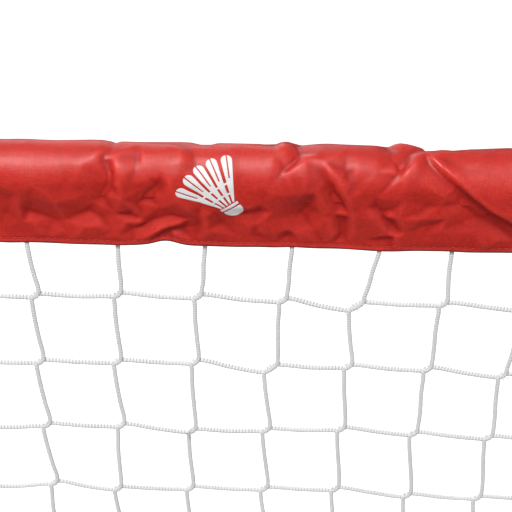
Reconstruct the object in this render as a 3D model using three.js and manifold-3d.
// Portable badminton net: a free-standing tube frame with fold-out feet, telescopic posts with
// lever clamps, a sectional ground rail and top rail, and a net hung from a headband sleeve.
// Millimetres, +Z up, X along the net, front towards -Y, origin on the ground at mid-net.
import * as THREE from "three";
import { mergeVertices } from "three/addons/utils/BufferGeometryUtils.js";
import Module from "manifold-3d";

const wasm = await Module();
wasm.setup();

// ---------------------------------------------------------------- driving dimensions
const HALF_SPAN = 1450; // post axis to the middle of the net
const TOP_Z = 1537; // axis of the top rail
const RAIL_Z = 18; // axis of the ground rail and of the foot tubes
const GAP = 0.3; // slip gap of every plugged or pinned joint
const OVERRUN = 1; // how far a cutter runs past an open face

// Tubes
const WALL = 1.2;
const BIG_R = 12.7; // top rail, ground rail and upper posts
const BIG_SOCKET_R = BIG_R + GAP;
const BIG_PLUG_R = BIG_R - WALL - GAP;
const SMALL_R = 11; // lower posts and foot tubes
const SMALL_SOCKET_R = SMALL_R + GAP;
const SMALL_PLUG_R = SMALL_R - WALL - GAP;

// Facets of round pieces
const FACETS = 20; // tubes and mouldings
const PIN_FACETS = 16; // rivets, buttons and lever barrels
const HOLE_FACETS = 12; // small holes, bolts and nuts

// Posts and rails
const POST_FLOOR = 10; // floor of the post socket in the hub
const POST_LOW = POST_FLOOR + GAP;
const POST_HIGH = 820; // top of the lower post
const UPPER_LOW = 745; // bottom of the upper post
const UPPER_HIGH = 1518; // top of the upper post in the elbow
const RAIL_STOP = 20; // floor of both rail sockets, from the post axis
const RAIL_END = RAIL_STOP + GAP;
const SOCKET_R = 18; // outside of the hub socket and of the clamp collar

// Net
const NET_HALF = 1350; // netting, middle to edge
const BAND_HALF = 1385; // headband sleeve and side bands, middle to end
const BAND_T = 1.6; // half thickness of the side and bottom bands
const SLEEVE_DROP = 44; // hem below the rail axis
const NET_TOP = TOP_Z - SLEEVE_DROP - 0.7;
const NET_LOW = 874;
const BOTTOM_LOW = 850; // lower edge of the bottom and side bands
const STRAP_HEIGHTS = { top: 1440, middle: 1160, bottom: 885 };

// ---------------------------------------------------------------- materials
const material = (settings) => new THREE.MeshStandardMaterial(settings);
const TUBE = material({ color: 0x17181a, roughness: 0.42, metalness: 0.35 });
const MOULDING = material({ color: 0x101113, roughness: 0.6, metalness: 0 });
const STEEL = material({ color: 0xa9abad, roughness: 0.35, metalness: 1 });
const RUBBER = material({ color: 0x0d0d0e, roughness: 0.85, metalness: 0 });
const RED = material({ color: 0xd23a30, roughness: 0.55, metalness: 0 });
const WHITE = material({ color: 0xe3e5e4, roughness: 0.8, metalness: 0 });
const WEBBING = material({ color: 0x141414, roughness: 0.9, metalness: 0 });

// ---------------------------------------------------------------- solids and meshes
// A closed three.js geometry as a solid: repeated vertices merged, collapsed triangles dropped.
function solid(geometry) {
  const loose = geometry.index ? geometry.toNonIndexed() : geometry;
  const bare = new THREE.BufferGeometry().setAttribute(
    "position",
    loose.getAttribute("position"),
  );
  const merged = mergeVertices(bare, 1e-4);
  const index = merged.index.array;
  const kept = [];
  for (let i = 0; i < index.length; i += 3) {
    const [first, second, third] = index.slice(i, i + 3);
    if (first !== second && second !== third && first !== third)
      kept.push(first, second, third);
  }
  return new wasm.Manifold(
    new wasm.Mesh({
      numProp: 3,
      vertProperties: merged.attributes.position.array,
      triVerts: new Uint32Array(kept),
    }),
  );
}

function geometryOf(manifold) {
  const mesh = manifold.getMesh();
  const position = new Float32Array(mesh.numVert * 3);
  for (let i = 0; i < mesh.numVert; i++) {
    const start = i * mesh.numProp;
    position.set(mesh.vertProperties.subarray(start, start + 3), i * 3);
  }
  const geometry = new THREE.BufferGeometry()
    .setAttribute("position", new THREE.BufferAttribute(position, 3))
    .setIndex(new THREE.BufferAttribute(mesh.triVerts, 1));
  geometry.computeVertexNormals();
  return geometry;
}

function node(name, manifold, paint, position = [0, 0, 0]) {
  const mesh = new THREE.Mesh(geometryOf(manifold), paint);
  mesh.name = name;
  mesh.position.set(...position);
  return mesh;
}

// Adds a list of [name, solid, material, position] to a group, each name ending in the suffix.
function addPieces(group, suffix, pieces) {
  for (const [name, ...rest] of pieces) group.add(node(`${name}_${suffix}`, ...rest));
}

const join = (first, ...rest) => rest.reduce((whole, part) => whole.add(part), first);
const cut = (first, ...rest) => rest.reduce((whole, part) => whole.subtract(part), first);

// ---------------------------------------------------------------- outlines
// Outlines are lists of coordinate pairs.
const vectors = (pairs) => pairs.map(([u, v]) => new THREE.Vector2(u, v));

// An arc of steps + 1 points, both ends included.
const arc = (radius, from, to, steps, [u, v] = [0, 0]) =>
  Array.from({ length: steps + 1 }, (_, i) => {
    const angle = from + (i / steps) * (to - from);
    return [u + radius * Math.cos(angle), v + radius * Math.sin(angle)];
  });

const ring = (radius, facets, centre) =>
  arc(radius, 0, 2 * Math.PI, facets, centre).slice(0, -1);

// A slot shape in XY, long in Y, with its end centres at y0 and y1.
const stadium = (y0, y1, radius) => [
  ...arc(radius, 0, Math.PI, 9, [0, y1]),
  ...arc(radius, Math.PI, 2 * Math.PI, 9, [0, y0]),
];

// ---------------------------------------------------------------- basic shapes
const X = new THREE.Vector3(1, 0, 0);
const Y = new THREE.Vector3(0, 1, 0);
const Z = new THREE.Vector3(0, 0, 1);
// For each extrusion axis: the two axes an outline's pairs are drawn on, then the axis itself.
const DRAWING_AXES = { x: [Y, Z, X], y: [Z, X, Y], z: [X, Y, Z] };

function prism(outline, low, high, axis = "z", hole) {
  const shape = new THREE.Shape(vectors(outline));
  if (hole) shape.holes.push(new THREE.Path(vectors(hole)));
  const geometry = new THREE.ExtrudeGeometry(shape, {
    depth: high - low,
    bevelEnabled: false,
  });
  geometry.translate(0, 0, low);
  geometry.applyMatrix4(new THREE.Matrix4().makeBasis(...DRAWING_AXES[axis]));
  return solid(geometry);
}

// The centre of a rod or pipe is a pair on the drawing axes.
const rod = (radius, low, high, axis = "z", centre = [0, 0], facets = FACETS) =>
  prism(ring(radius, facets, centre), low, high, axis);

const pipe = (outer, inner, low, high, axis, centre, facets = FACETS) =>
  prism(ring(outer, facets, centre), low, high, axis, ring(inner, facets, centre));

const tube = (radius, low, high, axis, centre) =>
  pipe(radius, radius - WALL, low, high, axis, centre);

// A profile of [radius, height] pairs turned about Z. It starts and ends on the axis.
const turned = (profile, facets = FACETS) =>
  solid(new THREE.LatheGeometry(vectors(profile), facets).rotateX(Math.PI / 2));

const box = ([x0, x1], [y0, y1], [z0, z1]) =>
  solid(
    new THREE.BoxGeometry(x1 - x0, y1 - y0, z1 - z0).translate(
      (x0 + x1) / 2,
      (y0 + y1) / 2,
      (z0 + z1) / 2,
    ),
  );

// ---------------------------------------------------------------- hub
// Side pieces are drawn with the post axis at x = 0 and the net towards +X.
const HUB_H = 72; // top of the hub socket
const BOSS_END = 62; // end of the ground rail socket
const BOSS_R = 16;
const PIVOT_Y = 36; // foot pivot in front of or behind the post axis
const PLATES_LOW = 4; // bottom of the lower plate
const PLATES_HIGH = 33; // top of the upper plate
const TONGUE = 6; // half thickness of the foot's tongue
const RIVET_R = 3;
const GROUND_RAIL_AXIS = [0, RAIL_Z]; // y, z

const pivotHole = (y) => rod(RIVET_R + GAP, 0, 40, "z", [0, y], HOLE_FACETS);

// A socket for the post, a socket for the ground rail towards +X, and two plates that hold
// the feet on their pivots in front and behind.
function hubSolid() {
  const core = turned([
    [0, 3],
    [16.5, 3],
    [SOCKET_R, 4.5],
    [SOCKET_R, HUB_H - 5],
    [16.2, HUB_H],
    [0, HUB_H],
  ]);
  const boss = join(
    rod(BOSS_R, 0, BOSS_END, "x", GROUND_RAIL_AXIS),
    rod(BOSS_R + 1, BOSS_END - 9, BOSS_END - 1, "x", GROUND_RAIL_AXIS),
  );
  const plateOutline = stadium(-PIVOT_Y, PIVOT_Y, 13);
  const plates = join(
    prism(plateOutline, PLATES_LOW, RAIL_Z - TONGUE - GAP),
    prism(plateOutline, RAIL_Z + TONGUE + GAP, PLATES_HIGH),
  );
  const ribOutline = [
    // y, z
    [-27, PLATES_HIGH - 2],
    [27, PLATES_HIGH - 2],
    [27, PLATES_HIGH + 1],
    [17, HUB_H - 10],
    [-17, HUB_H - 10],
    [-27, PLATES_HIGH + 1],
  ];
  return cut(
    join(core, boss, plates, prism(ribOutline, -2.5, 2.5, "x")),
    rod(SMALL_SOCKET_R, POST_FLOOR, HUB_H + OVERRUN),
    rod(BIG_SOCKET_R, RAIL_STOP, BOSS_END + OVERRUN, "x", GROUND_RAIL_AXIS),
    pivotHole(-PIVOT_Y),
    pivotHole(PIVOT_Y),
  );
}

// ---------------------------------------------------------------- foot
// Drawn with its pivot at the origin and pointing along -Y.
const FOOT_REACH = 515; // end of the foot from the middle plane of the net
const FOOT_END = PIVOT_Y - FOOT_REACH;
const FOOT_AXIS = [RAIL_Z, 0]; // z, x
const SHOULDER_Y = -22; // face of the knuckle that the tube meets
const CAP_MOUTH = FOOT_END + 45;
const CAP_FLOOR = FOOT_END + 4;

const knuckleSolid = () =>
  cut(
    join(
      prism(stadium(-17, 0, 9), RAIL_Z - TONGUE, RAIL_Z + TONGUE),
      rod(12.5, SHOULDER_Y, -15.5, "y", FOOT_AXIS),
      rod(SMALL_PLUG_R, -50, SHOULDER_Y + 1, "y", FOOT_AXIS),
    ),
    pivotHole(0),
  );

const footTubeSolid = () =>
  tube(SMALL_R, CAP_FLOOR + 0.5, SHOULDER_Y - GAP, "y", FOOT_AXIS);

// A round cap with a flat pad down to the ground.
const capSolid = () =>
  cut(
    join(
      rod(14, FOOT_END + 3, CAP_MOUTH, "y", FOOT_AXIS),
      rod(12, FOOT_END, CAP_FLOOR, "y", FOOT_AXIS),
      box([-12, 12], [FOOT_END + 1.5, CAP_MOUTH], [0, RAIL_Z - 2]),
    ),
    rod(SMALL_SOCKET_R, CAP_FLOOR, CAP_MOUTH + OVERRUN, "y", FOOT_AXIS),
  );

function rivetSolid() {
  const headR = 6.5;
  return turned(
    [
      [0, 1.2],
      [5.5, 1.2],
      [headR, 2.0],
      [headR, PLATES_LOW - GAP],
      [RIVET_R, PLATES_LOW - GAP],
      [RIVET_R, PLATES_HIGH + GAP],
      [headR, PLATES_HIGH + GAP],
      [6.2, PLATES_HIGH + 1.6],
      [4.2, PLATES_HIGH + 2.9],
      [0, PLATES_HIGH + 3.3],
    ],
    PIN_FACETS,
  );
}

// ---------------------------------------------------------------- posts
const lowerPostSolid = () => tube(SMALL_R, POST_LOW, POST_HIGH);
const upperPostSolid = () => tube(BIG_R, UPPER_LOW, UPPER_HIGH);

// Plug in the top of the lower post, with a rim over the tube's end.
function postPlugSolid() {
  const rimR = SMALL_R + 0.2;
  return turned([
    [0, POST_HIGH - 22],
    [8.6, POST_HIGH - 22],
    [SMALL_PLUG_R, POST_HIGH - 20],
    [SMALL_PLUG_R, POST_HIGH + GAP],
    [rimR, POST_HIGH + GAP],
    [rimR, POST_HIGH + 3],
    [rimR - 1, POST_HIGH + 4.3],
    [0, POST_HIGH + 4.3],
  ]);
}

// ---------------------------------------------------------------- clamp
const CLAMP_Z = 722; // bottom of the collar
const CLAMP_TOP = CLAMP_Z + 46;
const EAR_R = 9;
const EAR_HALF = 10; // outer face of an ear from the middle of the collar
const EAR_Y = -27; // bolt in front of the post axis
const EAR_Z = CLAMP_Z + 12;
const BOLT_AXIS = [EAR_Y, EAR_Z]; // y, z
const BOLT_R = 2.5;
const BARREL_X = -15.8;
const BARREL_AXIS = [BARREL_X, EAR_Y]; // x, y
const BARREL_R = 3.5;
const LEVER_HALF = 9; // half height of the lever

// Fixed on the upper post, split below it so that its two ears squeeze the lower post.
function collarSolid() {
  const earOutline = [
    // y, z
    [-10, EAR_Z + EAR_R],
    ...arc(EAR_R, Math.PI / 2, (3 * Math.PI) / 2, 10, BOLT_AXIS),
    [-10, EAR_Z - EAR_R],
  ];
  const body = turned([
    [0, CLAMP_Z],
    [16.8, CLAMP_Z],
    [SOCKET_R, CLAMP_Z + 1.2],
    [SOCKET_R, CLAMP_TOP - 4],
    [15.2, CLAMP_TOP],
    [0, CLAMP_TOP],
  ]);
  return cut(
    join(body, prism(earOutline, -EAR_HALF, EAR_HALF, "x")),
    rod(SMALL_SOCKET_R, CLAMP_Z - OVERRUN, UPPER_LOW + OVERRUN),
    rod(BIG_SOCKET_R, UPPER_LOW - GAP, CLAMP_TOP + OVERRUN),
    box([-1.5, 1.5], [-45, -8], [CLAMP_Z - OVERRUN, UPPER_LOW + 2]),
    rod(BOLT_R + GAP, -12, 12, "x", BOLT_AXIS, HOLE_FACETS),
  );
}

// Bolt through the ears, with the lever's upright barrel on its end.
function boltSolid() {
  const half = LEVER_HALF + 0.4;
  return join(
    rod(BOLT_R, BARREL_X, 17, "x", BOLT_AXIS, HOLE_FACETS),
    rod(BARREL_R, EAR_Z - half, EAR_Z + half, "z", BARREL_AXIS, PIN_FACETS),
  );
}

const nutSolid = () =>
  pipe(5.6, BOLT_R + GAP, EAR_HALF + GAP, 15.2, "x", BOLT_AXIS, HOLE_FACETS);

// Lever, closed: it lies beside the collar, away from the net, and turns about the barrel.
function leverSolid() {
  const armOutline = [
    // x, y
    [BARREL_X - 1, EAR_Y + 3],
    [-19.4, -14],
    [-19.4, 12],
    [-21.2, 20],
    [-24.2, 27.5],
    [-27.2, 26.6],
    [-24.8, 17],
    [-23.6, 8],
    [-23.6, -16],
    [BARREL_X - 5.4, EAR_Y - 1.5],
  ];
  // Sector cleared about the barrel at the height of the bolt.
  const radians = THREE.MathUtils.degToRad;
  const slotOutline = [
    ...arc(9, radians(-165), radians(46), 10, BARREL_AXIS),
    BARREL_AXIS,
  ];
  const low = EAR_Z - LEVER_HALF;
  const high = EAR_Z + LEVER_HALF;
  return cut(
    join(rod(5.5, low, high, "z", BARREL_AXIS), prism(armOutline, low, high)),
    rod(BARREL_R + GAP, low - OVERRUN, high + OVERRUN, "z", BARREL_AXIS, PIN_FACETS),
    prism(slotOutline, EAR_Z - 3, EAR_Z + 3),
  );
}

// ---------------------------------------------------------------- top corner
const ELBOW_R = 16.5;
const ELBOW_LIP_R = 17.6;
const ELBOW_LIP = 7; // length of the lip round each mouth
const ELBOW_ARM = 55; // corner to each mouth
const TOP_RAIL_AXIS = [0, TOP_Z]; // y, z

function elbowSolid() {
  const low = TOP_Z - ELBOW_ARM;
  const bend = solid(new THREE.SphereGeometry(ELBOW_R, FACETS, 12));
  return cut(
    join(
      rod(ELBOW_R, low, TOP_Z),
      rod(ELBOW_LIP_R, low, low + ELBOW_LIP),
      rod(ELBOW_R, 0, ELBOW_ARM, "x", TOP_RAIL_AXIS),
      rod(ELBOW_LIP_R, ELBOW_ARM - ELBOW_LIP, ELBOW_ARM, "x", TOP_RAIL_AXIS),
      bend.translate([0, 0, TOP_Z]),
    ),
    rod(BIG_SOCKET_R, low - OVERRUN, UPPER_HIGH + GAP),
    rod(BIG_SOCKET_R, RAIL_STOP, ELBOW_ARM + OVERRUN, "x", TOP_RAIL_AXIS),
  );
}

// ---------------------------------------------------------------- side band and straps
const sideBandSolid = () =>
  box(
    [HALF_SPAN - BAND_HALF, HALF_SPAN - NET_HALF - GAP],
    [-BAND_T, BAND_T],
    [BOTTOM_LOW, NET_TOP],
  );

// A strap loops round the upper post and lies on both faces of the net's side band.
function strapSolid() {
  const thickness = 1.4;
  const halfWidth = 12.5;
  const end = 92; // x of the two tails
  const innerR = 13.2;
  const outerR = innerR + thickness;
  const near = BAND_T + GAP; // inner face of a tail
  const far = near + thickness;
  const innerStart = Math.asin(near / innerR);
  const outerStart = Math.asin(far / outerR);
  const outline = [
    [end, -near],
    ...arc(innerR, -innerStart, innerStart - 2 * Math.PI, 22),
    [end, near],
    [end, far],
    ...arc(outerR, outerStart, 2 * Math.PI - outerStart, 22),
    [end, -far],
  ];
  return prism(outline, -halfWidth, halfWidth);
}

// ---------------------------------------------------------------- one side of the frame
// flip is 1 for a front foot and -1 for a rear foot, which is its mirror image.
function foot(suffix, flip) {
  const group = new THREE.Group();
  group.scale.y = flip;
  group.position.y = -flip * PIVOT_Y;
  addPieces(group, suffix, [
    ["foot_knuckle", knuckleSolid(), MOULDING],
    ["foot_tube", footTubeSolid(), TUBE],
    ["foot_cap", capSolid(), RUBBER],
    ["pivot_rivet", rivetSolid(), STEEL],
  ]);
  return group;
}

function side(tag) {
  const group = new THREE.Group();
  addPieces(group, tag, [
    ["hub", hubSolid(), MOULDING],
    ["lower_post", lowerPostSolid(), TUBE],
    ["post_plug", postPlugSolid(), MOULDING],
    ["upper_post", upperPostSolid(), TUBE],
    ["clamp_collar", collarSolid(), MOULDING],
    ["clamp_bolt", boltSolid(), STEEL],
    ["clamp_nut", nutSolid(), STEEL],
    ["clamp_lever", leverSolid(), MOULDING],
    ["corner_elbow", elbowSolid(), MOULDING],
    ["side_band", sideBandSolid(), RED],
    ...Object.entries(STRAP_HEIGHTS).map(([place, z]) => [
      `strap_${place}`,
      strapSolid(),
      WEBBING,
      [0, 0, z],
    ]),
  ]);
  group.add(foot(`front_${tag}`, 1), foot(`rear_${tag}`, -1));
  return group;
}

// ---------------------------------------------------------------- rails
const THIRD = (2 * (HALF_SPAN - RAIL_END)) / 3; // pitch of the three rail sections
const JOINT_X = THIRD / 2;
const FERRULE_L = 120;
const BUTTON_X = JOINT_X + 30;
const BUTTON_R = 3;
const BUTTON_TOP = BIG_R + 3.5; // the button stands 3.5 out of the rail

const centredTube = (radius, length) => tube(radius, -length / 2, length / 2, "x");
const railSolid = () => centredTube(BIG_R, THIRD - GAP);
const ferruleSolid = () => centredTube(BIG_PLUG_R, FERRULE_L);

function buttonSolid() {
  const flangeR = 4.2;
  const flangeTop = 8.7;
  return turned(
    [
      [0, 7.4],
      [flangeR, 7.4],
      [flangeR, flangeTop],
      [BUTTON_R, flangeTop],
      [BUTTON_R, BUTTON_TOP - 1.2],
      [2.2, BUTTON_TOP - 0.3],
      [0, BUTTON_TOP],
    ],
    PIN_FACETS,
  );
}

// A leaf spring bent double: one leg under the button, the other on the floor of the ferrule.
function springSolid() {
  // x, z: the inner line runs from the top leg round the bend, the outer line comes back.
  const inner = [
    [4, 6.3],
    [-4.9, 6.3],
    [-21.6, 1.9],
    [-23.6, 0],
    [-21.6, -1.9],
    [2, -7.9],
    [6, -7.9],
  ];
  const outer = [
    [6, -8.6],
    [1.8, -8.6],
    [-22, -2.7],
    [-24.5, 0],
    [-22, 2.7],
    [-5.1, 7.0],
    [4, 7.0],
  ];
  return prism([...inner, ...outer].map(([x, z]) => [z, x]), -3, 3, "y");
}

// The outer third of a rail, drawn for the right-hand end; mirror is -1 for the left.
function railEnd(where, tag, mirror, hasButton) {
  const group = new THREE.Group();
  group.scale.x = mirror;
  let rail = railSolid().translate([THIRD, 0, 0]);
  let ferrule = ferruleSolid().translate([JOINT_X, 0, 0]);
  if (hasButton) {
    const hole = rod(BUTTON_R + GAP, 5, 20, "z", [BUTTON_X, 0], HOLE_FACETS);
    rail = cut(rail, hole);
    ferrule = cut(ferrule, hole);
    addPieces(group, tag, [
      [`${where}_button`, buttonSolid(), STEEL, [BUTTON_X, 0, 0]],
      [`${where}_spring`, springSolid(), STEEL, [BUTTON_X, 0, 0]],
    ]);
  }
  addPieces(group, tag, [
    [`${where}_rail`, rail, TUBE],
    [`${where}_ferrule`, ferrule, STEEL],
  ]);
  return group;
}

function rails(where, z, hasButtons) {
  const group = new THREE.Group();
  group.position.z = z;
  group.add(
    node(`${where}_rail_middle`, railSolid(), TUBE),
    railEnd(where, "left", -1, hasButtons),
    railEnd(where, "right", 1, hasButtons),
  );
  return group;
}

// ---------------------------------------------------------------- net and headband
// Sleeve: it lies over the top of the rail and hangs to a closed hem.
function sleeveSolid() {
  const outerR = 14.2;
  const thickness = 1.0;
  const wrap = 0.3; // radians the round part runs on below the rail axis, each side
  // y, z: from the hem up the rear side, over the rail and down the front.
  const drape = (radius, hemHalf, low) => [
    [hemHalf, low],
    ...arc(radius, -wrap, Math.PI + wrap, 14),
    [-hemHalf, low],
  ];
  const outside = drape(outerR, 1.6, -SLEEVE_DROP);
  const inside = drape(outerR - thickness, 0.6, -SLEEVE_DROP + 6);
  return prism(outside, -BAND_HALF, BAND_HALF, "x", inside);
}

const bottomBandSolid = () =>
  box([-NET_HALF, NET_HALF], [-BAND_T, BAND_T], [BOTTOM_LOW, NET_LOW - GAP]);

// Netting as an open lattice of coarse flat bars. Bar edges divide it into columns and rows
// of cells, and every second column and row is a bar.
function nettingGeometry() {
  const barWidth = 4;
  const half = 1.2; // half thickness
  const edges = (low, high, meshes) => {
    const pitch = (high - low - barWidth) / meshes;
    return Array.from({ length: meshes + 1 }, (_, i) => [
      low + i * pitch,
      low + i * pitch + barWidth,
    ]).flat();
  };
  const xs = edges(-NET_HALF, NET_HALF, 18);
  const zs = edges(NET_LOW, NET_TOP, 4);
  const filled = (i, k) =>
    i >= 0 &&
    k >= 0 &&
    i < xs.length - 1 &&
    k < zs.length - 1 &&
    (i % 2 === 0 || k % 2 === 0);
  const position = [];
  const quad = (a, b, c, d) => position.push(...a, ...b, ...c, ...a, ...c, ...d);
  for (let i = 0; i < xs.length - 1; i++)
    for (let k = 0; k < zs.length - 1; k++) {
      if (!filled(i, k)) continue;
      // The cell's corners, anticlockwise from the lower left as seen from the front.
      const corners = (y) => [
        [xs[i], y, zs[k]],
        [xs[i + 1], y, zs[k]],
        [xs[i + 1], y, zs[k + 1]],
        [xs[i], y, zs[k + 1]],
      ];
      const front = corners(-half);
      const rear = corners(half);
      quad(...front);
      quad(rear[1], rear[0], rear[3], rear[2]);
      if (!filled(i - 1, k)) quad(rear[0], front[0], front[3], rear[3]);
      if (!filled(i + 1, k)) quad(front[1], rear[1], rear[2], front[2]);
      if (!filled(i, k - 1)) quad(rear[0], rear[1], front[1], front[0]);
      if (!filled(i, k + 1)) quad(front[3], front[2], rear[2], rear[3]);
    }
  const geometry = new THREE.BufferGeometry().setAttribute(
    "position",
    new THREE.Float32BufferAttribute(position, 3),
  );
  geometry.computeVertexNormals();
  return geometry;
}

// ---------------------------------------------------------------- assembly
const left = side("left");
left.position.x = -HALF_SPAN;
const right = side("right");
right.scale.x = -1;
right.position.x = HALF_SPAN;

const netting = new THREE.Mesh(nettingGeometry(), WHITE);
netting.name = "netting";

const net = new THREE.Group();
net.add(
  left,
  right,
  rails("ground", RAIL_Z, true),
  rails("top", TOP_Z, false),
  node("headband_sleeve", sleeveSolid(), RED, [0, 0, TOP_Z]),
  netting,
  node("bottom_band", bottomBandSolid(), RED),
);

export default net;
